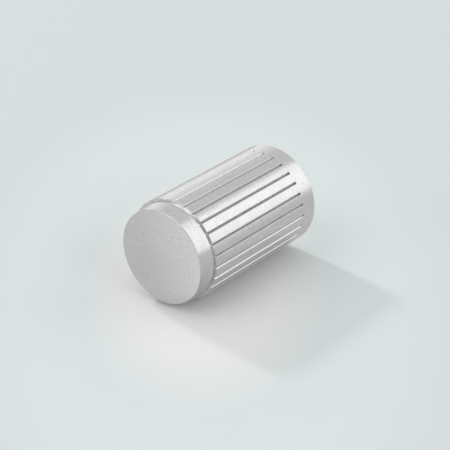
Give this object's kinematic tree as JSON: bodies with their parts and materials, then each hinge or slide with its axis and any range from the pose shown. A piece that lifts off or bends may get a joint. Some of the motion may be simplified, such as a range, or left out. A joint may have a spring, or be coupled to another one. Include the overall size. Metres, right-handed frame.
{
  "type": "cylinder knob",
  "caption": "Straight cylindrical furniture knob in satin metal with fine lengthwise grooves, a plain tapered front band and a blind tapped hole in its base.",
  "frame": {"origin": "centre of the base, the face that meets the drawer or door", "axes": "+Z along the knob's axis, from the base to the front face; +X through the middle of a groove"},
  "size_m": [0.018, 0.018, 0.03],
  "materials": {
    "satin_metal": "satin, fine turned and brushed grain"
  },
  "bodies": {
    "root": {"knob": "satin_metal"}
  },
  "joints": []
}
